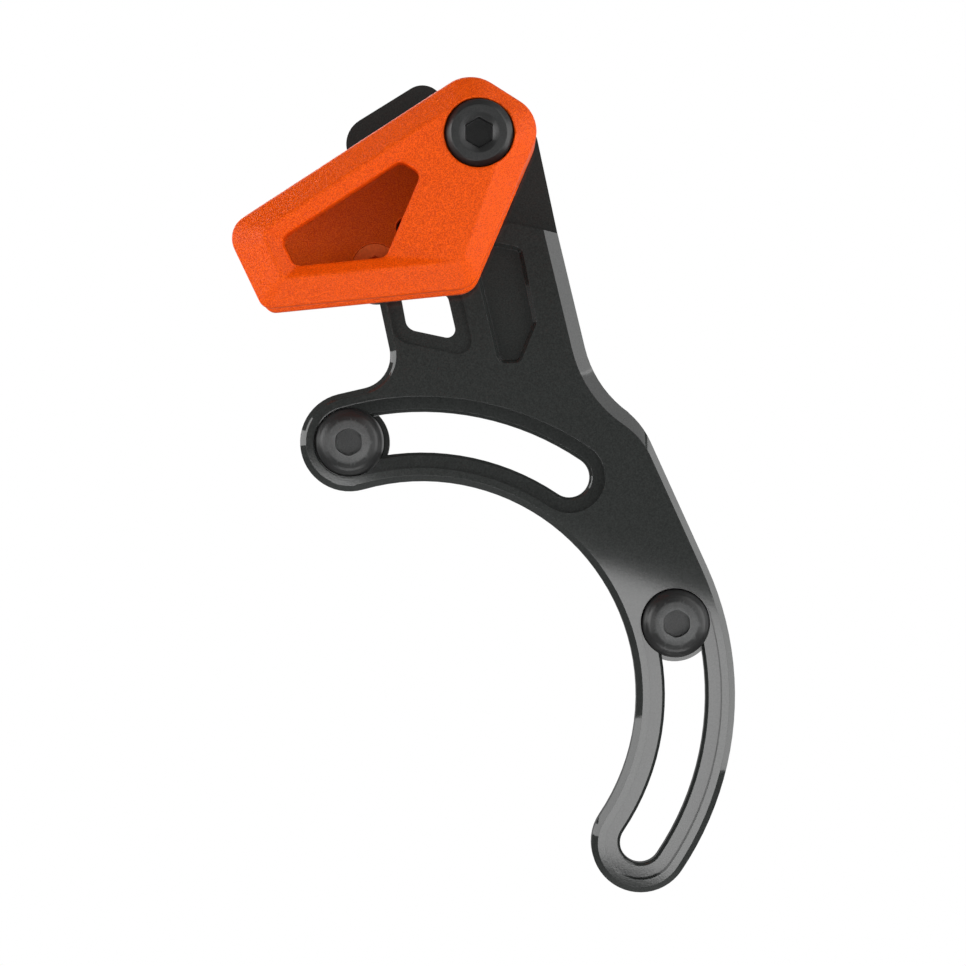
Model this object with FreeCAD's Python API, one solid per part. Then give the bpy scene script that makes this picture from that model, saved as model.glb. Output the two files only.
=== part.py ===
# Upper chain guide of a bicycle: a flat machined backplate that bolts round the crank,
# and a two-piece moulded cage at its head that the chain runs through.
# Millimetres. The origin is on the crank axis, in the plane of the backplate's back face.
# +X points forward, to the right as seen from the chain side, +Z up, and the chain side faces -Y.
import FreeCAD, Part
import math
import os

# backplate
plate_thickness = 4.0
recess_floor = 2.8            # plate left under the cage
bevel_width = 0.95            # bevel round the front edge
bevel_depth = 1.0
flank_bevel = 2.0             # wider bevel along the column's right flank

# the two curved mounting slots, concentric with the crank
slot_radius = 40.1
slot_sweep = 50.0             # degrees that the plate can be turned
upper_slot_start = 56.0       # degrees above +X
lower_slot_start = -34.0
slot_width = 6.2
slot_lip = 0.45               # broken edge of each slot
counterbore_width = 10.9
counterbore_depth = 1.5
arm_width = 15.0

# the column that carries the cage
column_lean = 12.1            # degrees from upright
flank_lean = 13.5             # the right flank below the cage
flank_x = 20.6               # where the right flank meets the shoulder
shoulder_z = 70.3
waist_x = 26.25                # inner corner between flank and shoulder lobe
lobe_corner = (33.3, 41.74)   # outer corner of the shoulder lobe
lobe_tangent = 24.4           # degrees, where the lobe's line runs into the outer arc
waist_round = 17.0
lobe_round = 12.5
left_edge_x = -6.02           # column's left edge, at the height of the next value
left_edge_z = 57.68
armpit_slope = 13.0           # degrees, top line of the upper arm
armpit_round = 5.0

# the tab at the head of the plate
tab_slope = 31.8
tab_corner = (-12.07, 85.93)
tab_length = 15.5
tab_round = 4.2
tab_end_round = 3.3
tab_drop = 5.6
head_z = 86.5
head_round = 2.0
head_inner_round = 3.0

# the sunk seat of the cage: how far its walls stand inside the cage's sides
seat_insets = [2.3, 2.3, 2.1, 0.8, 2.3]
shoulder_round = 5.0
seat_round = 2.0

# lightening window, its sunk border, and the shallow kite pocket beside it
window_corners = [(-2.3, 55.7), (-3.6, 62.6), (3.85, 61.0), (5.45, 54.05)]
window_rounds = [2.0, 1.25, 1.25, 1.25]
border_width = 2.1
border_depth = 0.45
border_round = 0.8            # added to the window's corner radii
pocket_corners = [(6.95, 69.75), (15.15, 68.1), (17.5, 56.8), (14.95, 50.55), (11.55, 50.5)]
pocket_round = 1.3
pocket_depth = 1.2
pocket_draft = 0.55

# cage outline, shared by both guides: corners from the left nose clockwise
cage_corners = [(-28.85, 69.8), (7.4, 93.35), (18.5, 86.3), (7.75, 61.1), (-23.2, 58.0)]
cage_rounds = [3.7, 5.7, 5.2, 3.5, 1.8]
chain_gap = 9.0

# inner guide
inner_flange = 2.25
flange_gap = 0.15
seat_gap = 0.3                # between the raised pad on the back and its seat's walls
inner_bevel = 0.8
index_hole = (-2.28, 70.94)
index_hole_diameter = 3.3

# outer guide
rim_height = 2.4              # straight wall before the bevels start
crest_height = 5.6            # crest of the rim above the guide's inner face
rim_bevels = [3.6, 3.5, 2.75, 3.9, 4.7]
tray_slopes = [24.0, 40.0, 40.0, 44.0, 32.0]
tray_tilt = 9.0               # the sunk face dips towards the nose
tray_hinge = (3.1, 85.6)      # a point where that face meets the crest
tray_hinge_lean = 7.1         # degrees from upright
view_window = [5.85, 17.0, 13.5, 5.7, 6.9]
view_window_round = 1.3
tray_depth = 3.0              # more than the sunk face needs at the nose
crest_reserve = 3.0           # bevels carried on above the crest, for the tilted face
corner_share = 0.6            # of a bevel's width that comes off the corner radii
least_round = 0.6
roof_thickness = 2.0
roof_gap = 0.2
roof_left_z = 71.6            # the wall along the top starts above this height at the nose
roof_right_z = 77.0           # and above this one at the rear

# cage bolt and its threaded insert
cage_bolt_place = (8.7, 83.7)
cage_bolt_diameter = 6.0
cage_head_diameter = 10.0
cage_head_height = 4.0
cage_head_rim = 0.9
cage_bolt_length = 10.0
cage_counterbore_gap = 0.15
cage_counterbore_floor = 2.0  # wall left under the head
hex_key = 4.0
cage_hex_depth = 2.2
insert_wall = 1.0
insert_length = 9.0
thread_gap = 0.05
post_wall = 2.0
bolt_hole_gap = 0.2

# height-setting screws and their T-nuts
lower_height_place = (-7.0, 65.0)
upper_height_place = (4.2, 74.2)
height_travel = 1.5           # the cage is shown at the top of its travel
height_screw_diameter = 4.0
height_head_diameter = 6.9
height_head_height = 2.2
height_screw_length = 6.0
height_hex_key = 3.0
height_hex_depth = 1.4
height_head_gap = 0.1
height_head_sink = 0.1
nut_flange_diameter = 7.6
nut_flange = 1.5
nut_barrel_diameter = 5.4
nut_barrel_gap = 0.4
height_slot_gap = 0.1
ear_radius = 3.9

# mounting bolts and spacers
mount_bolt_diameter = 6.0
mount_head_diameter = 10.5
mount_head_height = 3.3
mount_head_flat = 6.1
mount_head_band = 0.5         # straight edge under the dome
mount_head_bulge = 0.68       # of the dome beyond a plain cone
mount_head_bands = 3          # conical bands that make the dome
mount_bolt_length = 14.0
mount_neck_diameter = 5.6     # plain neck inside the plate and spacer
mount_neck_reach = 0.3        # how far it stands out behind the spacer
mount_hex_depth = 2.0
spacer_diameter = 12.0
spacer_thickness = 3.0
spacer_gap = 0.2

cut_past = 1.0                # cutters run this far past a face
outside = 30.0                # and this far past the whole part

plate_front = -plate_thickness
cage_back = -recess_floor
inner_back = plate_front - flange_gap
inner_front = inner_back - inner_flange
outer_back = inner_front - chain_gap
crest_y = outer_back - crest_height
arm_half = arm_width / 2
insert_bore = cage_bolt_diameter / 2 + thread_gap
insert_radius = insert_bore + insert_wall
post_radius = insert_radius + post_wall


def point(x, z, y=0.0):
    return FreeCAD.Vector(x, y, z)


def polar(radius, degrees, centre=(0.0, 0.0)):
    angle = math.radians(degrees)
    return (centre[0] + radius * math.cos(angle), centre[1] + radius * math.sin(angle))


def line_edge(a, b, y):
    return Part.LineSegment(point(a[0], a[1], y), point(b[0], b[1], y)).toShape()


def arc_edge(a, middle, b, y):
    return Part.Arc(point(a[0], a[1], y), point(middle[0], middle[1], y), point(b[0], b[1], y)).toShape()


def crossing(p, p_degrees, q, q_degrees):
    # where the line through p meets the line through q
    px, pz = polar(1.0, p_degrees)
    qx, qz = polar(1.0, q_degrees)
    along = ((q[0] - p[0]) * qz - (q[1] - p[1]) * qx) / (px * qz - pz * qx)
    return (p[0] + along * px, p[1] + along * pz)


def direction(a, b):
    return math.degrees(math.atan2(b[1] - a[1], b[0] - a[0]))


def rounded_corner(before, corner, after, radius):
    # tangent points and middle of the arc that rounds a corner
    back = direction(corner, before)
    ahead = direction(corner, after)
    opening = (ahead - back) % 360.0
    if opening > 180.0:
        opening = opening - 360.0
    half = math.radians(abs(opening) / 2)
    reach = radius / math.tan(half)
    start = polar(reach, back, corner)
    end = polar(reach, ahead, corner)
    middle = polar(radius / math.sin(half) - radius, back + opening / 2, corner)
    return start, middle, end


def rounded_polygon(corners, rounds, y=0.0):
    # closed wire of straight sides and tangent arcs
    count = len(corners)
    arcs = []
    for i in range(count):
        arcs.append(rounded_corner(corners[i - 1], corners[i], corners[(i + 1) % count], rounds[i]))
    edges = []
    for i in range(count):
        edges.append(arc_edge(arcs[i][0], arcs[i][1], arcs[i][2], y))
        edges.append(line_edge(arcs[i][2], arcs[(i + 1) % count][0], y))
    return Part.Wire(edges)


def inset_polygon(corners, insets):
    # corners listed clockwise, the inside on the right; side i runs from corner i to the next
    count = len(corners)
    sides = []
    for i in range(count):
        heading = direction(corners[i], corners[(i + 1) % count])
        sides.append((polar(insets[i], heading - 90.0, corners[i]), heading))
    result = []
    for i in range(count):
        result.append(crossing(sides[i - 1][0], sides[i - 1][1], sides[i][0], sides[i][1]))
    return result


def slot_wire(radius, start, sweep, half_width, y):
    # curved slot concentric with the crank
    end = start + sweep
    near = radius - half_width
    far = radius + half_width
    start_centre = polar(radius, start)
    end_centre = polar(radius, end)
    edges = [
        arc_edge(polar(far, start), polar(far, start + sweep / 2), polar(far, end), y),
        arc_edge(polar(far, end), polar(half_width, end + 90.0, end_centre), polar(near, end), y),
        arc_edge(polar(near, end), polar(near, start + sweep / 2), polar(near, start), y),
        arc_edge(polar(near, start), polar(half_width, start - 90.0, start_centre), polar(far, start), y),
    ]
    return Part.Wire(edges)


def straight_slot_wire(a, b, half_width, y):
    heading = direction(a, b)
    edges = [
        line_edge(polar(half_width, heading - 90.0, a), polar(half_width, heading - 90.0, b), y),
        arc_edge(polar(half_width, heading - 90.0, b), polar(half_width, heading, b),
                 polar(half_width, heading + 90.0, b), y),
        line_edge(polar(half_width, heading + 90.0, b), polar(half_width, heading + 90.0, a), y),
        arc_edge(polar(half_width, heading + 90.0, a), polar(half_width, heading + 180.0, a),
                 polar(half_width, heading - 90.0, a), y),
    ]
    return Part.Wire(edges)


def sharp_polygon(corners, y):
    closed = corners + corners[:1]
    return Part.makePolygon([point(c[0], c[1], y) for c in closed])


def prism(wire, depth):
    # fills the wire and carries it towards the chain side
    return Part.Face(wire).extrude(FreeCAD.Vector(0, -depth, 0))


def ruled_solid(first, second):
    return Part.makeLoft([first, second], True, True)


def cylinder(place, radius, back, front):
    return Part.makeCylinder(radius, back - front, point(place[0], place[1], back), FreeCAD.Vector(0, -1, 0))


def hexagon(place, across_flats, back, front):
    radius = across_flats / 2 / math.cos(math.radians(30.0))
    corners = [polar(radius, 90.0 - 60.0 * i, place) for i in range(6)]
    return prism(sharp_polygon(corners, back), back - front)


def cone(place, back_radius, front_radius, back, front):
    return Part.makeCone(back_radius, front_radius, back - front, point(place[0], place[1], back),
                         FreeCAD.Vector(0, -1, 0))


def revolved(place, profile):
    # a closed profile of (radius, y) points, turned about the axis through place
    closed = profile + profile[:1]
    face = Part.Face(Part.makePolygon([FreeCAD.Vector(p[0], p[1], 0) for p in closed]))
    turned = face.revolve(point(0, 0), FreeCAD.Vector(0, 1, 0), 360)
    turned.translate(point(place[0], place[1]))
    return turned


def arc_points(a, b, bulge, count):
    # points from a to b on the arc that stands out from their chord, to its left, by the bulge
    half = math.dist(a, b) / 2
    radius = (half ** 2 + bulge ** 2) / (2 * bulge)
    heading = direction(a, b)
    middle = ((a[0] + b[0]) / 2, (a[1] + b[1]) / 2)
    centre = polar(radius - bulge, heading - 90.0, middle)
    spread = math.degrees(math.asin(half / radius))
    return [polar(radius, heading + 90.0 + spread * (1 - 2 * i / count), centre) for i in range(count + 1)]


left_heading = 90.0 + column_lean
flank_heading = -90.0 + flank_lean
right_heading = -90.0 + column_lean


def plate_outline(inset, flank_inset, y):
    # the whole plate, or its front face when the insets are those of the bevel
    outer = slot_radius + arm_half - inset
    inner = slot_radius - arm_half + inset
    end_radius = arm_half - inset
    slot_end = upper_slot_start + slot_sweep

    left_point = polar(inset, left_heading - 90.0, (left_edge_x, left_edge_z))
    armpit_point = polar(end_radius, 90.0 + armpit_slope, polar(slot_radius, slot_end))
    armpit = crossing(armpit_point, armpit_slope, left_point, left_heading)
    armpit_arc = rounded_corner(armpit_point, armpit, polar(outside, left_heading, armpit),
                                armpit_round + inset)

    tab_point = polar(inset, tab_slope - 90.0, tab_corner)
    tab_left = crossing(left_point, left_heading, tab_point, tab_slope)
    tab_end = polar(tab_length - inset, tab_slope, polar(inset, tab_slope - 90.0, tab_corner))
    tab_right = crossing(tab_point, tab_slope, tab_end, tab_slope - 90.0)
    right_point = polar(flank_inset, right_heading - 90.0, (flank_x, shoulder_z))
    head_point = (flank_x - (head_z - shoulder_z) * math.tan(math.radians(column_lean)), head_z)
    head_point = polar(flank_inset, right_heading - 90.0, polar(inset, right_heading, head_point))
    head_inner = crossing(tab_right, tab_slope - 90.0, head_point, right_heading + 90.0)

    flank_point = polar(flank_inset, flank_heading - 90.0, (flank_x, shoulder_z))
    waist_z = shoulder_z - (waist_x - flank_x) / math.tan(math.radians(flank_lean))
    waist_heading = direction((waist_x, waist_z), lobe_corner)
    waist_point = polar(flank_inset, waist_heading - 90.0, lobe_corner)
    shoulder = crossing(right_point, right_heading, flank_point, flank_heading)
    waist = crossing(flank_point, flank_heading, waist_point, waist_heading)
    tangent = polar(outer, lobe_tangent)
    lobe = crossing(waist_point, waist_heading, tangent, lobe_tangent - 90.0)

    tab_left_arc = rounded_corner(armpit, tab_left, tab_right, tab_round - inset)
    tab_right_arc = rounded_corner(tab_left, tab_right, head_inner, tab_end_round - inset)
    head_inner_arc = rounded_corner(tab_right, head_inner, head_point, head_inner_round + inset)
    head_arc = rounded_corner(head_inner, head_point, shoulder, head_round - inset)
    waist_arc = rounded_corner(shoulder, waist, lobe, waist_round + flank_inset)
    lobe_arc = rounded_corner(waist, lobe, tangent, lobe_round - inset)

    lower_end = polar(slot_radius, lower_slot_start)
    upper_end = polar(slot_radius, slot_end)
    middle_outer = (lobe_tangent + lower_slot_start) / 2
    middle_inner = (slot_end + lower_slot_start) / 2
    arc_stop = 90.0 + armpit_slope
    end_middle = (slot_end + 180.0 + arc_stop) / 2
    edges = [
        arc_edge(*armpit_arc, y),
        line_edge(armpit_arc[2], tab_left_arc[0], y),
        arc_edge(*tab_left_arc, y),
        line_edge(tab_left_arc[2], tab_right_arc[0], y),
        arc_edge(*tab_right_arc, y),
        line_edge(tab_right_arc[2], head_inner_arc[0], y),
        arc_edge(*head_inner_arc, y),
        line_edge(head_inner_arc[2], head_arc[0], y),
        arc_edge(*head_arc, y),
        line_edge(head_arc[2], shoulder, y),
        line_edge(shoulder, waist_arc[0], y),
        arc_edge(*waist_arc, y),
        line_edge(waist_arc[2], lobe_arc[0], y),
        arc_edge(*lobe_arc, y),
        line_edge(lobe_arc[2], tangent, y),
        arc_edge(tangent, polar(outer, middle_outer), polar(outer, lower_slot_start), y),
        arc_edge(polar(outer, lower_slot_start), polar(end_radius, lower_slot_start - 90.0, lower_end),
                 polar(inner, lower_slot_start), y),
        arc_edge(polar(inner, lower_slot_start), polar(inner, middle_inner), polar(inner, slot_end), y),
        arc_edge(polar(inner, slot_end), polar(end_radius, end_middle, upper_end), armpit_point, y),
        line_edge(armpit_point, armpit_arc[0], y),
    ]
    return Part.Wire(edges)


def height_places():
    return [lower_height_place, upper_height_place]


def lowered(place):
    # the same place with the cage at the bottom of its travel
    return (place[0], place[1] - height_travel)


def cage_recess():
    # the seat is open to the plate's edges and closed against the shoulder and below
    seat = inset_polygon(cage_corners, seat_insets)
    shoulder = (flank_x, shoulder_z)
    corner = crossing(seat[3], direction(seat[3], seat[2]), shoulder, 180.0 - column_lean)
    far_right = polar(outside, -column_lean, shoulder)
    far_left = polar(outside, direction(seat[3], seat[4]), seat[4])
    top = cage_corners[1][1] + outside
    corners = [far_left, (far_left[0], top), (far_right[0], top), far_right, corner, seat[3]]
    rounds = [least_round] * 4 + [shoulder_round, seat_round]
    return prism(rounded_polygon(corners, rounds, -recess_floor), plate_thickness)


def plate_blank():
    outline = plate_outline(0.0, 0.0, 0.0)
    straight = plate_thickness - bevel_depth
    body = prism(outline, straight)
    edge = plate_outline(0.0, 0.0, -straight)
    face = plate_outline(bevel_width, flank_bevel, plate_front)
    return body.fuse(ruled_solid(edge, face))


def screw_ear():
    # carries the lower height screw, which sits on the column's left edge
    wire = straight_slot_wire(lowered(lower_height_place), lower_height_place, ear_radius, 0.0)
    return prism(wire, recess_floor)


def mounting_slot(start):
    floor = plate_front + counterbore_depth
    half = slot_width / 2
    through = prism(slot_wire(slot_radius, start, slot_sweep, half, cut_past),
                    plate_thickness + 2 * cut_past)
    lip = ruled_solid(slot_wire(slot_radius, start, slot_sweep, half, floor + slot_lip),
                      slot_wire(slot_radius, start, slot_sweep, half + slot_lip, floor))
    sink = prism(slot_wire(slot_radius, start, slot_sweep, counterbore_width / 2, floor),
                 plate_thickness)
    return through.fuse([lip, sink])


def lightening_window():
    return prism(rounded_polygon(window_corners, window_rounds, cut_past), plate_thickness + 2 * cut_past)


def window_border():
    # the shallow step round the window
    corners = inset_polygon(window_corners, [-border_width] * len(window_corners))
    rounds = [r + border_round for r in window_rounds]
    return prism(rounded_polygon(corners, rounds, plate_front + border_depth), plate_thickness)


def kite_pocket():
    count = len(pocket_corners)
    floor = inset_polygon(pocket_corners, [pocket_draft] * count)
    top = rounded_polygon(pocket_corners, [pocket_round] * count, plate_front)
    bottom = rounded_polygon(floor, [pocket_round - pocket_draft] * count, plate_front + pocket_depth)
    return ruled_solid(bottom, top)


def height_slot(place):
    half = nut_barrel_diameter / 2 + height_slot_gap
    wire = straight_slot_wire(lowered(place), place, half, cut_past)
    return prism(wire, plate_thickness + 2 * cut_past)


def backplate():
    plate = plate_blank().cut(cage_recess())
    plate = plate.fuse(screw_ear())
    cutters = [mounting_slot(upper_slot_start), mounting_slot(lower_slot_start)]
    cutters += [lightening_window(), window_border(), kite_pocket()]
    cutters += [height_slot(place) for place in height_places()]
    return plate.cut(cutters).removeSplitter()


def pad_insets():
    # the pad keeps clear of its seat's walls down to the bottom of the travel
    insets = []
    for i in range(len(cage_corners)):
        heading = direction(cage_corners[i], cage_corners[(i + 1) % len(cage_corners)])
        approach = -height_travel * math.cos(math.radians(heading))
        insets.append(seat_insets[i] + seat_gap + max(approach, 0.0))
    return insets


def bevelled_flange():
    bevel_start = inner_front + inner_bevel
    front_corners = inset_polygon(cage_corners, [inner_bevel] * len(cage_corners))
    front_rounds = [r - inner_bevel for r in cage_rounds]
    flange = prism(rounded_polygon(cage_corners, cage_rounds, inner_back), inner_back - bevel_start)
    bevel = ruled_solid(rounded_polygon(cage_corners, cage_rounds, bevel_start),
                        rounded_polygon(front_corners, front_rounds, inner_front))
    return flange.fuse(bevel)


def inner_guide():
    insets = pad_insets()
    pad_rounds = [max(r - min(insets), least_round) for r in cage_rounds]
    pad = prism(rounded_polygon(inset_polygon(cage_corners, insets), pad_rounds, cage_back),
                cage_back - inner_back)
    post = cylinder(cage_bolt_place, post_radius, inner_back, outer_back)
    guide = bevelled_flange().fuse([pad, post])
    cutters = [cylinder(cage_bolt_place, insert_radius, outer_back + insert_length, outer_back - cut_past)]
    cutters.append(cylinder(index_hole, index_hole_diameter / 2, 0.0, inner_front - cut_past))
    head_radius = height_head_diameter / 2 + height_head_gap
    seat = inner_front + height_head_height + height_head_sink
    for place in height_places():
        cutters.append(cylinder(place, head_radius, seat, inner_front - cut_past))
        cutters.append(cylinder(place, height_screw_diameter / 2 + thread_gap, 0.0, seat))
    return guide.cut(cutters).removeSplitter()


def cage_front(top):
    # outer skin of the outer guide, its bevels carried on up to the given height
    rise = (top - rim_height) / (crest_height - rim_height)
    insets = [width * rise for width in rim_bevels]
    rounds = [max(r - min(insets) * corner_share, least_round) for r in cage_rounds]
    base = rounded_polygon(cage_corners, cage_rounds, outer_back - rim_height)
    return ruled_solid(base, rounded_polygon(inset_polygon(cage_corners, insets), rounds, outer_back - top))


def sunk_face():
    # everything in front of the tilted face, as a slab turned about its hinge line
    reach = 2 * outside
    slab = Part.makeBox(2 * reach, reach, 2 * reach, FreeCAD.Vector(-reach, -reach, -reach))
    slab.rotate(FreeCAD.Vector(0, 0, 0), FreeCAD.Vector(0, 0, 1), -tray_tilt)
    slab.rotate(FreeCAD.Vector(0, 0, 0), FreeCAD.Vector(0, 1, 0), -tray_hinge_lean)
    slab.translate(point(tray_hinge[0], tray_hinge[1], crest_y))
    return slab


def tray():
    # sloping walls inside the crest, and free air above it
    count = len(cage_corners)
    crest = inset_polygon(cage_corners, rim_bevels)
    slopes = [tray_depth / math.tan(math.radians(angle)) for angle in tray_slopes]
    walls = ruled_solid(sharp_polygon(inset_polygon(crest, slopes), crest_y + tray_depth),
                        sharp_polygon(crest, crest_y))
    around = inset_polygon(cage_corners, [-outside] * count)
    return walls.fuse(prism(rounded_polygon(around, [least_round] * count, crest_y), outside))


def view_window_cutter():
    corners = inset_polygon(cage_corners, view_window)
    wire = rounded_polygon(corners, [view_window_round] * len(corners), outer_back + cut_past)
    return prism(wire, outside)


def roof():
    # wall along the top of the cage that keeps the chain in, relieved round the inner guide's post
    back = inner_front - roof_gap
    length = chain_gap - roof_gap
    inside_corners = inset_polygon(cage_corners, [roof_thickness] * len(cage_corners))
    inside_rounds = [max(r - roof_thickness, least_round) for r in cage_rounds]
    shell = prism(rounded_polygon(cage_corners, cage_rounds, back), length)
    shell = shell.cut(prism(rounded_polygon(inside_corners, inside_rounds, back), length))
    shell = shell.cut(cylinder(cage_bolt_place, post_radius + roof_gap, back, outer_back))
    left = cage_corners[0][0] - outside
    right = cage_corners[2][0] + outside
    top = cage_corners[1][1] + outside
    step = cage_bolt_place[0]
    zone = [(left, roof_left_z), (left, top), (right, top), (right, roof_right_z),
            (step, roof_right_z), (step, roof_left_z)]
    return shell.common(prism(rounded_polygon(zone, [least_round] * len(zone), back), length))


def outer_guide():
    rim = prism(rounded_polygon(cage_corners, cage_rounds, outer_back), rim_height)
    guide = rim.fuse(cage_front(crest_height + crest_reserve))
    guide = guide.cut(sunk_face().common(tray()))
    guide = guide.fuse(roof())
    head_radius = cage_head_diameter / 2 + cage_counterbore_gap
    floor = outer_back - cage_counterbore_floor
    cutters = [view_window_cutter()]
    cutters.append(cylinder(cage_bolt_place, head_radius, floor, crest_y - outside))
    cutters.append(cylinder(cage_bolt_place, cage_bolt_diameter / 2 + bolt_hole_gap, 0.0, floor))
    return guide.cut(cutters).removeSplitter()


def cage_bolt():
    seat = outer_back - cage_counterbore_floor
    top = seat - cage_head_height
    head_radius = cage_head_diameter / 2
    head = cylinder(cage_bolt_place, head_radius, seat, top + cage_head_rim)
    crown = cone(cage_bolt_place, head_radius, head_radius - cage_head_rim, top + cage_head_rim, top)
    shank = cylinder(cage_bolt_place, cage_bolt_diameter / 2, seat + cage_bolt_length, seat)
    socket = hexagon(cage_bolt_place, hex_key, top + cage_hex_depth, top - cut_past)
    return head.fuse([crown, shank]).cut(socket).removeSplitter()


def cage_insert():
    back = outer_back + insert_length
    sleeve = cylinder(cage_bolt_place, insert_radius, back, outer_back)
    return sleeve.cut(cylinder(cage_bolt_place, insert_bore, back, outer_back))


def height_screw(place):
    seat = inner_front + height_head_height + height_head_sink
    top = seat - height_head_height
    head = cylinder(place, height_head_diameter / 2, seat, top)
    shank = cylinder(place, height_screw_diameter / 2, seat + height_screw_length, seat)
    socket = hexagon(place, height_hex_key, top + height_hex_depth, top - cut_past)
    return head.fuse(shank).cut(socket).removeSplitter()


def height_nut(place):
    # T-nut: a round flange behind the plate and a barrel that slides in the slot
    flange = cylinder(place, nut_flange_diameter / 2, nut_flange, 0.0)
    barrel = cylinder(place, nut_barrel_diameter / 2, 0.0, -recess_floor + nut_barrel_gap)
    bore = cylinder(place, height_screw_diameter / 2 + thread_gap, nut_flange, -recess_floor)
    return flange.fuse(barrel).cut(bore).removeSplitter()


def mount_place(start):
    # each bolt stands at the high end of its slot
    return polar(slot_radius, start + slot_sweep)


def mount_bolt(start):
    place = mount_place(start)
    seat = plate_front + counterbore_depth
    top = seat - mount_head_height
    head_radius = mount_head_diameter / 2
    flat_radius = mount_head_flat / 2
    shank_radius = mount_bolt_diameter / 2
    band = seat - mount_head_band
    neck_radius = mount_neck_diameter / 2
    neck_end = spacer_thickness + mount_neck_reach
    profile = [(0.0, seat + mount_bolt_length), (shank_radius, seat + mount_bolt_length),
               (shank_radius, neck_end), (neck_radius, neck_end),
               (neck_radius, seat), (head_radius, seat)]
    profile += arc_points((head_radius, band), (flat_radius, top), mount_head_bulge, mount_head_bands)
    profile.append((0.0, top))
    bolt = revolved(place, profile)
    return bolt.cut(hexagon(place, hex_key, top + mount_hex_depth, top - cut_past)).removeSplitter()


def mount_spacer(start):
    place = mount_place(start)
    ring = cylinder(place, spacer_diameter / 2, spacer_thickness, 0.0)
    return ring.cut(cylinder(place, mount_bolt_diameter / 2 + spacer_gap, spacer_thickness, 0.0))


def build():
    lower_height, upper_height = height_places()
    return {
        "backplate": backplate(),
        "inner_guide": inner_guide(),
        "outer_guide": outer_guide(),
        "cage_bolt": cage_bolt(),
        "cage_bolt_insert": cage_insert(),
        "height_screw_lower": height_screw(lower_height),
        "height_screw_upper": height_screw(upper_height),
        "height_nut_lower": height_nut(lower_height),
        "height_nut_upper": height_nut(upper_height),
        "mount_bolt_upper": mount_bolt(upper_slot_start),
        "mount_bolt_lower": mount_bolt(lower_slot_start),
        "mount_spacer_upper": mount_spacer(upper_slot_start),
        "mount_spacer_lower": mount_spacer(lower_slot_start),
    }


os.makedirs("parts", exist_ok=True)
for name, shape in build().items():
    shape.exportStep("parts/" + name + ".step")
    box = shape.BoundBox
    print(name, shape.isValid(), len(shape.Solids), round(shape.Volume, 1),
          [round(v, 2) for v in (box.XMin, box.XMax, box.YMin, box.YMax, box.ZMin, box.ZMax)])
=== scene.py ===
import bpy
import bmesh
import math
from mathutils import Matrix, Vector


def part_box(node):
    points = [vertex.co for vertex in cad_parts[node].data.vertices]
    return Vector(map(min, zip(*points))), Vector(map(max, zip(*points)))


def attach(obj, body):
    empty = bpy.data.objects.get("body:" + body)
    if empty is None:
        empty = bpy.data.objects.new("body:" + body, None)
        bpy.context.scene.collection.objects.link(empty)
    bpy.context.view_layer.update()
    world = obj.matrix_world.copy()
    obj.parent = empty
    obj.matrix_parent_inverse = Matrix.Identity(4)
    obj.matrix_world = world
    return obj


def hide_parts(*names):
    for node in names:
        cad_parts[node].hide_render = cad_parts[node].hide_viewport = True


# Finishes, soft edges and screw threads for a bicycle chain guide, and a plain pale studio.
# Metres; -Y is the chain side, which the camera faces.
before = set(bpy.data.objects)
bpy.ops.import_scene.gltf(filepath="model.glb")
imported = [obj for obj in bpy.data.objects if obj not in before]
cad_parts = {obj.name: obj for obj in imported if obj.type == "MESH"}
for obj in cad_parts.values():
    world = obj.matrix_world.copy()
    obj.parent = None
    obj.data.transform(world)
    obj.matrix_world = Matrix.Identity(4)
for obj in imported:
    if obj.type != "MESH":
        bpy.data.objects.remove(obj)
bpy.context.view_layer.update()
scene = bpy.context.scene
scene.view_settings.view_transform = "Standard"
mm = 0.001


def deselectAll():
    bpy.ops.object.select_all(action="DESELECT")


def makeActive(thing):
    deselectAll()
    thing.select_set(True)
    bpy.context.view_layer.objects.active = thing


def settle(piece):
    # the finished piece sits at the origin with its place in its mesh
    makeActive(piece)
    bpy.ops.object.transform_apply(location=True, rotation=True, scale=True)


def applyModifiers(piece):
    makeActive(piece)
    for modifier in list(piece.modifiers):
        bpy.ops.object.modifier_apply(modifier=modifier.name)


# Shader building

nodeSpacing = 200  # of the grid that the nodes are laid out on


def addNode(tree, kind, at, **settings):
    node = tree.nodes.new(kind)
    node.location = (at[0] * nodeSpacing, -at[1] * nodeSpacing)
    for name, value in settings.items():
        setattr(node, name, value)
    return node


def setInputs(node, **values):
    for name, value in values.items():
        node.inputs[name.replace("_", " ")].default_value = value


def newGroup(name, inputs, outputs):
    group = bpy.data.node_groups.new(name, "ShaderNodeTree")
    for socketName, kind, value in inputs:
        socket = group.interface.new_socket(socketName, in_out="INPUT", socket_type=kind)
        if value is not None:
            socket.default_value = value
    for socketName, kind in outputs:
        group.interface.new_socket(socketName, in_out="OUTPUT", socket_type=kind)
    entry = addNode(group, "NodeGroupInput", (-5, 0))
    leave = addNode(group, "NodeGroupOutput", (5, 0))
    return group, entry, leave


def placeGroup(tree, group, at, **values):
    node = addNode(tree, "ShaderNodeGroup", at)
    node.node_tree = group
    setInputs(node, **values)
    return node


grainPattern = {
    "fineDetail": 2.0, "fineRoughness": 0.55, "coarseDetail": 3.0, "coarseRoughness": 0.6,
    "coarseScale": 0.45, "coarseShare": 0.22, "lowest": 0.3, "highest": 0.7,
}
cloudPattern = {"detail": 4.0, "roughness": 0.6, "lowest": 0.35, "highest": 0.65}
facingMask = {"from": 0.90, "full": 0.985}  # cosine of a face's turn from the chain side


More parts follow.
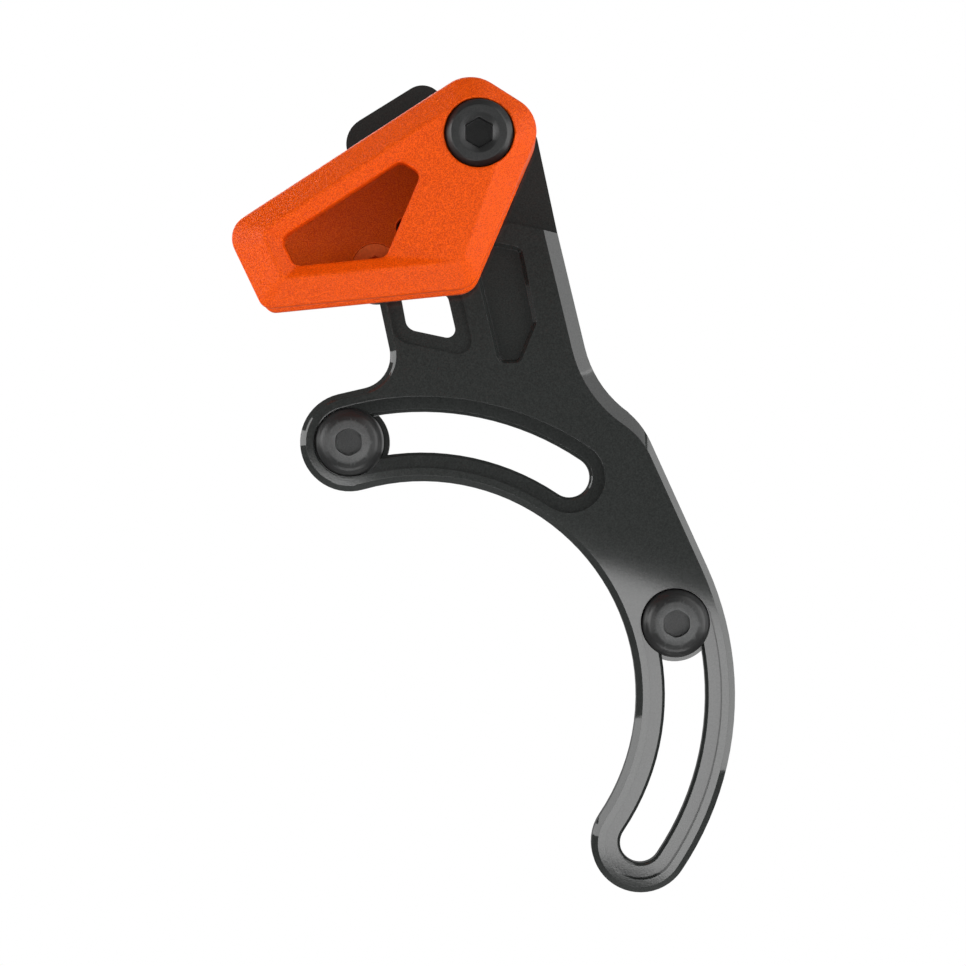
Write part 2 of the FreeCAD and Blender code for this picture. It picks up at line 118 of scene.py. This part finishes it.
def buildGrainGroup():
    # fine pits and grains of a blasted or spark-eroded surface
    pattern = grainPattern
    group, entry, leave = newGroup(
        "surfaceGrain",
        [("Vector", "NodeSocketVector", None), ("Grains per metre", "NodeSocketFloat", 3000.0),
         ("Contrast", "NodeSocketFloat", 1.0)],
        [("Height", "NodeSocketFloat"), ("Speckle", "NodeSocketFloat")])
    link = group.links.new
    coarse = addNode(group, "ShaderNodeTexNoise", (-3, -1))
    setInputs(coarse, Detail=pattern["coarseDetail"], Roughness=pattern["coarseRoughness"])
    coarseScale = addNode(group, "ShaderNodeMath", (-4, -2), operation="MULTIPLY")
    coarseScale.inputs[1].default_value = pattern["coarseScale"]
    fine = addNode(group, "ShaderNodeTexNoise", (-3, 1))
    setInputs(fine, Detail=pattern["fineDetail"], Roughness=pattern["fineRoughness"])
    link(entry.outputs["Vector"], coarse.inputs["Vector"])
    link(entry.outputs["Vector"], fine.inputs["Vector"])
    link(entry.outputs["Grains per metre"], fine.inputs["Scale"])
    link(entry.outputs["Grains per metre"], coarseScale.inputs[0])
    link(coarseScale.outputs[0], coarse.inputs["Scale"])
    blend = addNode(group, "ShaderNodeMix", (-1, 0), data_type="FLOAT")
    blend.inputs[0].default_value = pattern["coarseShare"]
    link(fine.outputs["Fac"], blend.inputs[2])
    link(coarse.outputs["Fac"], blend.inputs[3])
    stretch = addNode(group, "ShaderNodeMapRange", (1, 0))
    setInputs(stretch, From_Min=pattern["lowest"], From_Max=pattern["highest"])
    link(blend.outputs[0], stretch.inputs["Value"])
    centre = addNode(group, "ShaderNodeMath", (2, 1), operation="SUBTRACT")
    centre.inputs[1].default_value = 0.5
    widen = addNode(group, "ShaderNodeMath", (3, 1), operation="MULTIPLY")
    lift = addNode(group, "ShaderNodeMath", (4, 1), operation="ADD", use_clamp=True)
    lift.inputs[1].default_value = 0.5
    link(stretch.outputs["Result"], centre.inputs[0])
    link(centre.outputs[0], widen.inputs[0])
    link(entry.outputs["Contrast"], widen.inputs[1])
    link(widen.outputs[0], lift.inputs[0])
    link(stretch.outputs["Result"], leave.inputs["Height"])
    link(lift.outputs[0], leave.inputs["Speckle"])
    return group


def buildCloudGroup():
    # broad, faint unevenness such as handling leaves on a finish
    group, entry, leave = newGroup(
        "handledCloud",
        [("Vector", "NodeSocketVector", None), ("Clouds per metre", "NodeSocketFloat", 60.0),
         ("Low", "NodeSocketFloat", 0.3), ("High", "NodeSocketFloat", 0.4)],
        [("Value", "NodeSocketFloat")])
    link = group.links.new
    cloud = addNode(group, "ShaderNodeTexNoise", (-2, 0))
    setInputs(cloud, Detail=cloudPattern["detail"], Roughness=cloudPattern["roughness"])
    span = addNode(group, "ShaderNodeMapRange", (1, 0))
    setInputs(span, From_Min=cloudPattern["lowest"], From_Max=cloudPattern["highest"])
    link(entry.outputs["Vector"], cloud.inputs["Vector"])
    link(entry.outputs["Clouds per metre"], cloud.inputs["Scale"])
    link(cloud.outputs["Fac"], span.inputs["Value"])
    link(entry.outputs["Low"], span.inputs["To Min"])
    link(entry.outputs["High"], span.inputs["To Max"])
    link(span.outputs["Result"], leave.inputs["Value"])
    return group


def buildFacingGroup():
    # a mask of the faces that look to the chain side, down to a given depth
    group, entry, leave = newGroup(
        "chainSideFaces",
        [("Vector", "NodeSocketVector", None), ("Normal", "NodeSocketVector", None),
         ("Deepest", "NodeSocketFloat", 1.0)],
        [("Value", "NodeSocketFloat")])
    link = group.links.new
    towards = addNode(group, "ShaderNodeVectorMath", (-3, 1), operation="DOT_PRODUCT")
    towards.inputs[1].default_value = (0, -1, 0)
    squareOn = addNode(group, "ShaderNodeMapRange", (-1, 1), interpolation_type="SMOOTHSTEP")
    setInputs(squareOn, From_Min=facingMask["from"], From_Max=facingMask["full"])
    parts = addNode(group, "ShaderNodeSeparateXYZ", (-3, -1))
    shallow = addNode(group, "ShaderNodeMath", (-1, -1), operation="LESS_THAN")
    both = addNode(group, "ShaderNodeMath", (2, 0), operation="MULTIPLY")
    link(entry.outputs["Normal"], towards.inputs[0])
    link(towards.outputs["Value"], squareOn.inputs["Value"])
    link(entry.outputs["Vector"], parts.inputs[0])
    link(parts.outputs["Y"], shallow.inputs[0])
    link(entry.outputs["Deepest"], shallow.inputs[1])
    link(squareOn.outputs["Result"], both.inputs[0])
    link(shallow.outputs[0], both.inputs[1])
    link(both.outputs[0], leave.inputs["Value"])
    return group


grainGroup = buildGrainGroup()
cloudGroup = buildCloudGroup()
facingGroup = buildFacingGroup()


def grainedFinish(name, look, paintedLightFactor=None, deepest=0.0):
    # a surface with grain in colour and height, and a cloudy roughness;
    # a painted light factor, where given, multiplies the colour of the faces on the chain side down
    # to the deepest y: above one it makes a painted highlight, below one a painted shade
    material = bpy.data.materials.new(name)
    material.use_nodes = True
    tree = material.node_tree
    tree.nodes.clear()
    link = tree.links.new
    output = addNode(tree, "ShaderNodeOutputMaterial", (4, 0))
    surface = addNode(tree, "ShaderNodeBsdfPrincipled", (2, 0))
    link(surface.outputs["BSDF"], output.inputs["Surface"])
    place = addNode(tree, "ShaderNodeTexCoord", (-6, 0))
    grain = placeGroup(tree, grainGroup, (-4, -1), Grains_per_metre=look["grainsPerMetre"],
                       Contrast=look["speckleContrast"])
    cloud = placeGroup(tree, cloudGroup, (-4, 1), Clouds_per_metre=look["cloudsPerMetre"],
                       Low=look["roughness"][0], High=look["roughness"][1])
    link(place.outputs["Object"], grain.inputs["Vector"])
    link(place.outputs["Object"], cloud.inputs["Vector"])
    tint = addNode(tree, "ShaderNodeMix", (-1, -1), data_type="RGBA")
    tint.inputs[6].default_value = (*look["darkGrain"], 1.0)
    tint.inputs[7].default_value = (*look["paleGrain"], 1.0)
    link(grain.outputs["Speckle"], tint.inputs[0])
    colour = tint.outputs[2]
    if paintedLightFactor:
        facing = placeGroup(tree, facingGroup, (-1, -3), Deepest=deepest)
        link(place.outputs["Object"], facing.inputs["Vector"])
        link(place.outputs["Normal"], facing.inputs["Normal"])
        # painted highlight or painted shade: the masked faces' colour multiplied by the factor
        paintedLightMix = addNode(tree, "ShaderNodeMix", (1, -2), data_type="RGBA", blend_type="MULTIPLY")
        paintedLightMix.inputs[7].default_value = (*paintedLightFactor, 1.0)
        link(facing.outputs["Value"], paintedLightMix.inputs[0])
        link(colour, paintedLightMix.inputs[6])
        colour = paintedLightMix.outputs[2]
    link(colour, surface.inputs["Base Color"])
    link(cloud.outputs["Value"], surface.inputs["Roughness"])
    bump = addNode(tree, "ShaderNodeBump", (0, 2))
    setInputs(bump, Strength=look["bumpStrength"], Distance=look["grainHeight"])
    link(grain.outputs["Height"], bump.inputs["Height"])
    link(bump.outputs["Normal"], surface.inputs["Normal"])
    setInputs(surface, Metallic=look["metallic"], IOR=look["ior"])
    return material


# grains run from the dark to the pale colour, and the clouds between the two roughnesses
finishes = {
    "black_anodised": {
        "darkGrain": (0.0170, 0.0188, 0.0179), "paleGrain": (0.0312, 0.0338, 0.0324),
        "grainsPerMetre": 4600.0, "speckleContrast": 1.2, "cloudsPerMetre": 55.0,
        "roughness": (0.050, 0.065), "bumpStrength": 0.012, "grainHeight": 0.000035,
        "metallic": 0.0, "ior": 1.50,
    },
    "orange_guide": {
        "darkGrain": (0.64, 0.052, 0.0004), "paleGrain": (0.95, 0.113, 0.0026),
        "grainsPerMetre": 5600.0, "speckleContrast": 2.0, "cloudsPerMetre": 40.0,
        "roughness": (0.30, 0.38), "bumpStrength": 0.9, "grainHeight": 0.00006,
        "metallic": 0.0, "ior": 1.24,
    },
    "black_screw": {
        "darkGrain": (0.012, 0.0124, 0.0124), "paleGrain": (0.024, 0.0244, 0.0244),
        "grainsPerMetre": 6000.0, "speckleContrast": 0.9, "cloudsPerMetre": 220.0,
        "roughness": (0.30, 0.38), "bumpStrength": 0.3, "grainHeight": 0.00003,
        "metallic": 0.0, "ior": 1.40,
    },
    "orange_screw": {
        "darkGrain": (0.50, 0.075, 0.008), "paleGrain": (0.74, 0.125, 0.02),
        "grainsPerMetre": 4200.0, "speckleContrast": 0.8, "cloudsPerMetre": 200.0,
        "roughness": (0.30, 0.40), "bumpStrength": 0.25, "grainHeight": 0.00003,
        "metallic": 0.6, "ior": 1.50,
    },
    "brass": {
        "darkGrain": (0.62, 0.42, 0.17), "paleGrain": (0.74, 0.54, 0.25),
        "grainsPerMetre": 5000.0, "speckleContrast": 0.7, "cloudsPerMetre": 260.0,
        "roughness": (0.28, 0.38), "bumpStrength": 0.2, "grainHeight": 0.00003,
        "metallic": 1.0, "ior": 1.50,
    },
    "nut_steel": {
        "darkGrain": (0.38, 0.38, 0.39), "paleGrain": (0.48, 0.48, 0.49),
        "grainsPerMetre": 5000.0, "speckleContrast": 0.7, "cloudsPerMetre": 260.0,
        "roughness": (0.30, 0.40), "bumpStrength": 0.2, "grainHeight": 0.00003,
        "metallic": 1.0, "ior": 1.50,
    },
}
materials = {}
for slotName, look in finishes.items():
    materials[slotName] = grainedFinish(slotName + "_finish", look)

# the same finishes with painted light on the faces on the chain side, down to a depth
# from the node's front: a painted highlight makes them paler, a painted shade darker
paintedLightFinishes = {
    # painted highlight: the flat faces of the mounting bolts' heads, paler than the rest of the screw
    "mountHeadPaintedHighlight": {
        "slot": "black_screw", "node": "mount_bolt_upper", "paintedLightFactor": (4.4, 4.4, 4.4),
        "depth": 3.0 * mm,
    },
    # painted highlight: the cage bolt's flat front, paler than the rest; the socket floor lies deeper
    # and keeps the plain finish
    "cageHeadPaintedHighlight": {
        "slot": "black_screw", "node": "cage_bolt", "paintedLightFactor": (1.6, 1.6, 1.6),
        "depth": 0.6 * mm,
    },
    # painted shade: the inner guide's faces on the chain side made darker, as the shade inside the
    # cage
    "cageInsidePaintedShade": {
        "slot": "orange_guide", "node": "inner_guide", "paintedLightFactor": (0.60, 0.72, 0.65),
        "depth": 1000.0 * mm,  # past the whole node
    },
}
for finishName, faced in paintedLightFinishes.items():
    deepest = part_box(faced["node"])[0].y + faced["depth"]
    materials[finishName] = grainedFinish(finishName + "_finish", finishes[faced["slot"]],
                                          faced["paintedLightFactor"], deepest)
print("finishes built:", len(materials))


# Finishes of the nodes that stay as the frame has them

nodeFinish = {
    "cage_bolt_insert": "brass",
    "height_screw_lower": "orange_screw",
    "height_screw_upper": "orange_screw",
    "height_nut_lower": "nut_steel",
    "height_nut_upper": "nut_steel",
    "mount_spacer_upper": "black_anodised",
    "mount_spacer_lower": "black_anodised",
}
for nodeName, finishName in nodeFinish.items():
    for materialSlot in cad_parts[nodeName].material_slots:
        materialSlot.material = materials[finishName]
print("finishes set on", len(nodeFinish), "nodes")


# Copies of the frame's own meshes, softened

copyCare = {"weldWithin": 0.002 * mm, "flatBelow": 0.3}


def mergedCopy(nodeName, pieceName):
    # the node's own mesh, its triangles joined up and flat ones dissolved
    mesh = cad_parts[nodeName].data.copy()
    mesh.name = pieceName
    piece = bpy.data.objects.new(pieceName, mesh)
    scene.collection.objects.link(piece)
    makeActive(piece)
    bpy.ops.object.mode_set(mode="EDIT")
    bpy.ops.mesh.select_all(action="SELECT")
    bpy.ops.mesh.remove_doubles(threshold=copyCare["weldWithin"])
    bpy.ops.mesh.dissolve_limited(angle_limit=math.radians(copyCare["flatBelow"]))
    bpy.ops.object.mode_set(mode="OBJECT")
    if mesh.has_custom_normals:
        bpy.ops.mesh.customdata_custom_splitnormals_clear()
    return piece


def softenEdges(piece, edge):
    # small rounds on every edge sharper than the given angle
    makeActive(piece)
    bevel = piece.modifiers.new("softEdge", "BEVEL")
    bevel.limit_method = "ANGLE"
    bevel.angle_limit = math.radians(edge["sharperThan"])
    bevel.width = edge["width"]
    bevel.segments = edge["segments"]
    bevel.use_clamp_overlap = False
    bevel.miter_outer = "MITER_ARC"
    applyModifiers(piece)
    bpy.ops.object.shade_smooth_by_angle(angle=math.radians(edge["smoothBelow"]))
    weighted = piece.modifiers.new("flatFaces", "WEIGHTED_NORMAL")
    weighted.keep_sharp = True
    applyModifiers(piece)


def dress(piece, finishName, slotName, *nodes):
    piece.data.materials.clear()
    piece.data.materials.append(materials[finishName])
    settle(piece)
    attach(piece, "root")
    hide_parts(*nodes)


# Backplate: machined edges broken by the blasting

plateEdge = {"width": 0.018 * mm, "segments": 2, "sharperThan": 25.0, "smoothBelow": 35.0}
plateSeam = {
    "at": (30.7 * mm, 42.2 * mm), "reach": 1.3 * mm,
    "front": -3.97 * mm, "back": -3.03 * mm,
}


def smoothSeam(plate, seam):
    # the slivers where two arcs of the edge meet are dissolved into their neighbours
    makeActive(plate)
    bpy.ops.object.mode_set(mode="EDIT")
    mesh = bmesh.from_edit_mesh(plate.data)
    bpy.ops.mesh.select_all(action="DESELECT")
    bpy.ops.mesh.select_mode(type="VERT")
    for vertex in mesh.verts:
        away = math.hypot(vertex.co.x - seam["at"][0], vertex.co.z - seam["at"][1])
        vertex.select = away < seam["reach"] and seam["front"] < vertex.co.y < seam["back"]
    bmesh.update_edit_mesh(plate.data)
    bpy.ops.mesh.dissolve_verts()
    bpy.ops.object.mode_set(mode="OBJECT")


plateBody = mergedCopy("backplate", "plateBody")
smoothSeam(plateBody, plateSeam)
softenEdges(plateBody, plateEdge)
dress(plateBody, "black_anodised", "black_anodised", "backplate")
print("plate:", len(plateBody.data.polygons), "faces")


# Cage: moulded guides, every ridge a little round

outerMould = {"voxel": 0.26 * mm, "smoothing": 0.5, "passes": 6}
innerEdge = {"width": 0.15 * mm, "segments": 2, "sharperThan": 25.0, "smoothBelow": 35.0}


def softenMould(piece, mould):
    # an even skin of small faces over the whole form, relaxed until its ridges are round
    makeActive(piece)
    skin = piece.modifiers.new("skin", "REMESH")
    skin.mode = "VOXEL"
    skin.voxel_size = mould["voxel"]
    relax = piece.modifiers.new("relax", "SMOOTH")
    relax.factor = mould["smoothing"]
    relax.iterations = mould["passes"]
    applyModifiers(piece)
    bpy.ops.object.shade_smooth()


outerShell = mergedCopy("outer_guide", "outerShell")
softenMould(outerShell, outerMould)
dress(outerShell, "orange_guide", "orange_guide", "outer_guide")
innerShell = mergedCopy("inner_guide", "innerShell")
softenEdges(innerShell, innerEdge)
# the inner guide carries a painted shade on its faces on the chain side
dress(innerShell, "cageInsidePaintedShade", "orange_guide", "inner_guide")
print("cage:", len(outerShell.data.polygons), len(innerShell.data.polygons), "faces")


# Cage bolt: a dished lead-in round its socket and a broken rim

cageScrewDish = {
    "radius": 3.0 * mm, "floorRadius": 1.9 * mm, "depth": 0.45 * mm, "past": 0.2 * mm,
    "around": 72,
}
cageScrewEdge = {"width": 0.10 * mm, "segments": 2, "sharperThan": 25.0, "smoothBelow": 20.0}


def cutDish(screw, centre, frontY):
    # a shallow cone round the socket; its cutter runs on past the front by its own slope
    dish = cageScrewDish
    slope = (dish["radius"] - dish["floorRadius"]) / dish["depth"]
    middleY = frontY + (dish["depth"] - dish["past"]) / 2
    bpy.ops.mesh.primitive_cone_add(vertices=dish["around"], radius1=dish["floorRadius"],
                                    radius2=dish["radius"] + slope * dish["past"],
                                    depth=dish["depth"] + dish["past"],
                                    rotation=(math.radians(90), 0, 0),
                                    location=(centre[0], middleY, centre[1]))
    cutter = bpy.context.active_object
    settle(cutter)
    makeActive(screw)
    cut = screw.modifiers.new("dish", "BOOLEAN")
    cut.operation = "DIFFERENCE"
    cut.solver = "EXACT"
    cut.object = cutter
    applyModifiers(screw)
    bpy.data.objects.remove(cutter)


cageScrew = mergedCopy("cage_bolt", "cageScrew")
screwLow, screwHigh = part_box("cage_bolt")
cutDish(cageScrew, ((screwLow.x + screwHigh.x) / 2, (screwLow.z + screwHigh.z) / 2), screwLow.y)
softenEdges(cageScrew, cageScrewEdge)
# the head's flat front carries a painted highlight
dress(cageScrew, "cageHeadPaintedHighlight", "black_screw", "cage_bolt")
print("cage bolt:", len(cageScrew.data.polygons), "faces")


# Mounting bolts: the frame's heads on cut threads

boltThread = {
    "pitch": 1.0 * mm, "depth": 0.55 * mm, "shankRadius": 2.98 * mm, "length": 14.0 * mm,
    "plainNeck": 1.2 * mm, "pointChamfer": 0.7 * mm, "around": 40, "ringsPerPitch": 8,
    "sunkInHead": 0.3 * mm, "headKept": 0.02 * mm, "axisWithin": 0.1 * mm, "smoothBelow": 28.0,
}
hexKey = 4.0 * mm
boltSocket = {
    "corner": hexKey / math.sqrt(3), "reach": 0.05 * mm, "round": 0.75 * mm, "segments": 4,
}


def threadedShank(pieceName, centre, seatY):
    # a bar cut into rings, each point then drawn in to the thread's flank at its turn of the helix
    thread = boltThread
    length = thread["length"] + thread["sunkInHead"]
    rings = round(length / thread["pitch"]) * thread["ringsPerPitch"]
    middle = (centre[0], seatY - thread["sunkInHead"] + length / 2, centre[1])
    bpy.ops.mesh.primitive_cylinder_add(vertices=thread["around"], radius=thread["shankRadius"],
                                        depth=length, location=middle,
                                        rotation=(math.radians(90), 0, 0))
    shank = bpy.context.active_object
    shank.name = pieceName
    settle(shank)
    bpy.ops.object.mode_set(mode="EDIT")
    mesh = bmesh.from_edit_mesh(shank.data)
    bpy.ops.mesh.select_all(action="DESELECT")
    for edge in mesh.edges:
        a, b = edge.verts
        edge.select = abs(a.co.y - b.co.y) > length / 2
    bmesh.update_edit_mesh(shank.data)
    bpy.ops.mesh.subdivide(number_cuts=rings)
    bpy.ops.object.mode_set(mode="OBJECT")
    endY = seatY + thread["length"]
    for vertex in shank.data.vertices:
        x = vertex.co.x - centre[0]
        z = vertex.co.z - centre[1]
        turn = math.atan2(z, x) / (2 * math.pi)
        phase = ((vertex.co.y - seatY) / thread["pitch"] + turn) % 1.0
        groove = thread["depth"] * (1.0 - abs(2.0 * phase - 1.0))
        if vertex.co.y < seatY + thread["plainNeck"]:
            groove = 0.0
        toEnd = endY - vertex.co.y
        point = max(thread["pointChamfer"] - toEnd, 0.0)
        radius = thread["shankRadius"] - max(groove, point)
        away = math.hypot(x, z)
        factor = radius / away if away > thread["axisWithin"] else 1.0
        vertex.co.x = centre[0] + x * factor
        vertex.co.z = centre[1] + z * factor
    return shank


def roundSocket(bolt, centre):
    # the corners of a pressed hexagon socket are round
    makeActive(bolt)
    bpy.ops.object.mode_set(mode="EDIT")
    mesh = bmesh.from_edit_mesh(bolt.data)
    bpy.ops.mesh.select_all(action="DESELECT")
    for edge in mesh.edges:
        a, b = edge.verts
        offCorner = max(abs(math.hypot(v.co.x - centre[0], v.co.z - centre[1]) - boltSocket["corner"])
                        for v in edge.verts)
        upright = math.hypot(a.co.x - b.co.x, a.co.z - b.co.z) < boltSocket["reach"]
        edge.select = upright and offCorner < boltSocket["reach"]
    bmesh.update_edit_mesh(bolt.data)
    bpy.ops.mesh.bevel(offset=boltSocket["round"], segments=boltSocket["segments"], affect="EDGES")
    bpy.ops.object.mode_set(mode="OBJECT")


def threadedBolt(nodeName, pieceName):
    # the frame's head, cut off behind its seat, on a threaded shank
    low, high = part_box(nodeName)
    centre = ((low.x + high.x) / 2, (low.z + high.z) / 2)
    seatY = high.y - boltThread["length"]
    bolt = mergedCopy(nodeName, pieceName)
    roundSocket(bolt, centre)
    bpy.ops.object.mode_set(mode="EDIT")
    bpy.ops.mesh.select_all(action="SELECT")
    bpy.ops.mesh.bisect(plane_co=(0, seatY + boltThread["headKept"], 0), plane_no=(0, 1, 0),
                        use_fill=True, clear_outer=True)
    bpy.ops.object.mode_set(mode="OBJECT")
    shank = threadedShank(pieceName + "Shank", centre, seatY)
    makeActive(bolt)
    shank.select_set(True)
    bpy.ops.object.join()
    makeActive(bolt)
    bpy.ops.object.shade_smooth_by_angle(angle=math.radians(boltThread["smoothBelow"]))
    # the heads' flat faces carry a painted highlight
    dress(bolt, "mountHeadPaintedHighlight", "black_screw", nodeName)
    return bolt


upperBolt = threadedBolt("mount_bolt_upper", "upperBolt")
lowerBolt = threadedBolt("mount_bolt_lower", "lowerBolt")
print("bolts:", len(upperBolt.data.polygons), len(lowerBolt.data.polygons), "faces,",
      round(max(v.co.y for v in upperBolt.data.vertices) / mm, 2), "mm reach")


# Studio: camera, lights, floor and a white surround

studio = {
    "cameraAt": (0.00927, -0.489, 0.03234), "lens": 119.1, "sensor": 36.0, "nearest": 0.02,
    "floorAt": (0.0, 0.0, -0.45), "floorRadius": 1.6, "floorSides": 96,
    "floorColour": (0.45, 0.45, 0.45), "floorWhite": 0.8,
}
# the soft room: one dim level all round, but for a wide ring about the camera's line of sight
# that is brighter below and darker above
room = {
    "dim": 0.20, "ringAbove": 0.04, "ringBelow": 0.50, "ringHeights": (-0.9, 0.9),
    "ringStarts": (0.75, 0.50), "ringEnds": (0.12, 0.34),
    "backStarts": (-0.40, -0.75), "backEnds": (-0.97, -0.90),
}
# a lamp's radiance is its own brightness, so its power follows from its area; the lower arm's
# flat face mirrors the arm lamp, and the bevels on the left mirror the high and the end lamp
lamps = [
    {"name": "armSoftbox", "at": (0.020, -0.492, -0.0295), "towards": (0.020, 0.0, -0.0295),
     "size": (0.22, 0.085), "radiance": 5.6, "roll": -18.5},
    {"name": "rightSoftbox", "at": (0.60, -0.20, 0.08), "towards": (0.02, -0.20, 0.08),
     "size": (0.60, 0.54), "radiance": 3.1},
    {"name": "lowFrontSoftbox", "at": (0.27, -0.50, -0.10), "towards": (0.01, 0.0, 0.03),
     "size": (0.30, 0.30), "radiance": 1.9},
    {"name": "leftFrontSoftbox", "at": (-0.42, -0.28, 0.02), "towards": (0.01, 0.0, 0.03),
     "size": (0.30, 0.40), "radiance": 2.4},
    {"name": "leftHighSoftbox", "at": (-0.45, -0.153, 0.166), "towards": (0.0, -0.153, 0.166),
     "size": (0.315, 0.308), "radiance": 3.8},
    {"name": "leftEndSoftbox", "at": (-0.45, 0.0575, 0.081), "towards": (0.0, 0.0575, 0.081),
     "size": (0.125, 0.138), "radiance": 3.6},
    {"name": "belowSoftbox", "at": (0.0, -0.14, -0.42), "towards": (0.0, 0.0, 0.03),
     "size": (0.50, 0.16), "radiance": 4.0},
    {"name": "topRightSoftbox", "at": (0.36, -0.24, 0.42), "towards": (0.02, 0.0, 0.04),
     "size": (0.42, 0.42), "radiance": 1.8},
    {"name": "backSoftbox", "at": (-0.30, 0.50, 0.40), "towards": (0.01, 0.0, 0.03),
     "size": (0.40, 0.40), "radiance": 3.0},
]


def addLamp(lamp):
    data = bpy.data.lights.new(lamp["name"], "AREA")
    data.shape = "RECTANGLE"
    data.size, data.size_y = lamp["size"]
    data.energy = lamp["radiance"] * math.pi * data.size * data.size_y
    lampObject = bpy.data.objects.new(lamp["name"], data)
    scene.collection.objects.link(lampObject)
    aim = Vector(lamp["towards"]) - Vector(lamp["at"])
    lampObject.rotation_euler = aim.to_track_quat("-Z", "Y").to_euler()
    lampObject.rotation_euler.rotate_axis("Z", math.radians(lamp.get("roll", 0.0)))
    lampObject.location = lamp["at"]
    lampObject.visible_camera = False


for lamp in lamps:
    addLamp(lamp)

camera = bpy.data.objects.new("camera", bpy.data.cameras.new("camera"))
scene.collection.objects.link(camera)
camera.location = studio["cameraAt"]
camera.rotation_euler = (math.radians(90), 0, 0)
camera.data.lens = studio["lens"]
camera.data.sensor_width = studio["sensor"]
camera.data.clip_start = studio["nearest"]
scene.camera = camera


def spreadNode(tree, at, inside, outside, kind="SMOOTHSTEP"):
    node = addNode(tree, "ShaderNodeMapRange", at, interpolation_type=kind)
    setInputs(node, From_Min=inside[0], From_Max=inside[1], To_Min=outside[0], To_Max=outside[1])
    return node


def buildSurround():
    # white where the camera sees it; elsewhere the soft room
    world = bpy.data.worlds.new("surround")
    scene.world = world
    world.use_nodes = True
    tree = world.node_tree
    tree.nodes.clear()
    link = tree.links.new
    output = addNode(tree, "ShaderNodeOutputWorld", (5, 0))
    soft = addNode(tree, "ShaderNodeBackground", (3, 1))
    white = addNode(tree, "ShaderNodeBackground", (3, -1))
    setInputs(white, Color=(1, 1, 1, 1), Strength=1.0)
    place = addNode(tree, "ShaderNodeTexCoord", (-5, 1))
    forward = addNode(tree, "ShaderNodeVectorMath", (-4, 1), operation="DOT_PRODUCT")
    forward.inputs[1].default_value = (0, -1, 0)
    upward = addNode(tree, "ShaderNodeVectorMath", (-4, 3), operation="DOT_PRODUCT")
    upward.inputs[1].default_value = (0, 0, 1)
    link(place.outputs["Generated"], forward.inputs[0])
    link(place.outputs["Generated"], upward.inputs[0])
    start = spreadNode(tree, (-3, 0), room["ringStarts"], (0.0, 1.0))
    end = spreadNode(tree, (-3, 1), room["ringEnds"], (0.0, 1.0))
    level = spreadNode(tree, (-3, 3), room["ringHeights"], (room["ringBelow"], room["ringAbove"]),
                       "LINEAR")
    link(forward.outputs["Value"], start.inputs["Value"])
    link(forward.outputs["Value"], end.inputs["Value"])
    link(upward.outputs["Value"], level.inputs["Value"])
    ring = addNode(tree, "ShaderNodeMath", (-1, 1), operation="MULTIPLY")
    link(start.outputs["Result"], ring.inputs[0])
    link(end.outputs["Result"], ring.inputs[1])
    lit = addNode(tree, "ShaderNodeMix", (1, 1), data_type="FLOAT")
    lit.inputs[2].default_value = room["dim"]
    link(ring.outputs[0], lit.inputs[0])
    link(level.outputs["Result"], lit.inputs[3])
    link(lit.outputs[0], soft.inputs["Strength"])
    # what mirrors the space behind the object sees the white too, but for the spot straight
    # behind, which would turn the walls of the slots white
    backStart = spreadNode(tree, (-3, 5), room["backStarts"], (0.0, 1.0))
    backEnd = spreadNode(tree, (-3, 6), room["backEnds"], (0.0, 1.0))
    link(forward.outputs["Value"], backStart.inputs["Value"])
    link(forward.outputs["Value"], backEnd.inputs["Value"])
    behind = addNode(tree, "ShaderNodeMath", (-1, 5), operation="MULTIPLY")
    link(backStart.outputs["Result"], behind.inputs[0])
    link(backEnd.outputs["Result"], behind.inputs[1])
    rays = addNode(tree, "ShaderNodeLightPath", (-1, -4))
    mirrored = addNode(tree, "ShaderNodeMath", (1, -3), operation="MULTIPLY")
    link(rays.outputs["Is Glossy Ray"], mirrored.inputs[0])
    link(behind.outputs[0], mirrored.inputs[1])
    direct = addNode(tree, "ShaderNodeMath", (1, -4), operation="MAXIMUM")
    link(rays.outputs["Is Camera Ray"], direct.inputs[0])
    link(rays.outputs["Is Transmission Ray"], direct.inputs[1])
    shown = addNode(tree, "ShaderNodeMath", (3, -3), operation="MAXIMUM")
    link(mirrored.outputs[0], shown.inputs[0])
    link(direct.outputs[0], shown.inputs[1])
    choose = addNode(tree, "ShaderNodeMixShader", (4, 0))
    link(shown.outputs[0], choose.inputs[0])
    link(soft.outputs["Background"], choose.inputs[1])
    link(white.outputs["Background"], choose.inputs[2])
    link(choose.outputs["Shader"], output.inputs["Surface"])


def buildFloor():
    # pale and matte, most of the way to white where the camera sees it, so that a shadow stays
    bpy.ops.mesh.primitive_circle_add(vertices=studio["floorSides"], radius=studio["floorRadius"],
                                      fill_type="NGON", location=studio["floorAt"])
    floor = bpy.context.active_object
    floor.name = "floor"
    settle(floor)
    material = bpy.data.materials.new("paleFloor")
    material.use_nodes = True
    tree = material.node_tree
    tree.nodes.clear()
    link = tree.links.new
    output = addNode(tree, "ShaderNodeOutputMaterial", (4, 0))
    matte = addNode(tree, "ShaderNodeBsdfDiffuse", (0, 1))
    setInputs(matte, Color=(*studio["floorColour"], 1.0))
    glow = addNode(tree, "ShaderNodeEmission", (0, -1))
    setInputs(glow, Color=(1, 1, 1, 1), Strength=1.0)
    rays = addNode(tree, "ShaderNodeLightPath", (-2, 0))
    share = addNode(tree, "ShaderNodeMath", (0, 3), operation="MULTIPLY")
    share.inputs[1].default_value = studio["floorWhite"]
    mix = addNode(tree, "ShaderNodeMixShader", (2, 0))
    link(rays.outputs["Is Camera Ray"], share.inputs[0])
    link(share.outputs[0], mix.inputs[0])
    link(matte.outputs["BSDF"], mix.inputs[1])
    link(glow.outputs["Emission"], mix.inputs[2])
    link(mix.outputs["Shader"], output.inputs["Surface"])
    floor.data.materials.append(material)


buildSurround()
buildFloor()
print("studio ready")
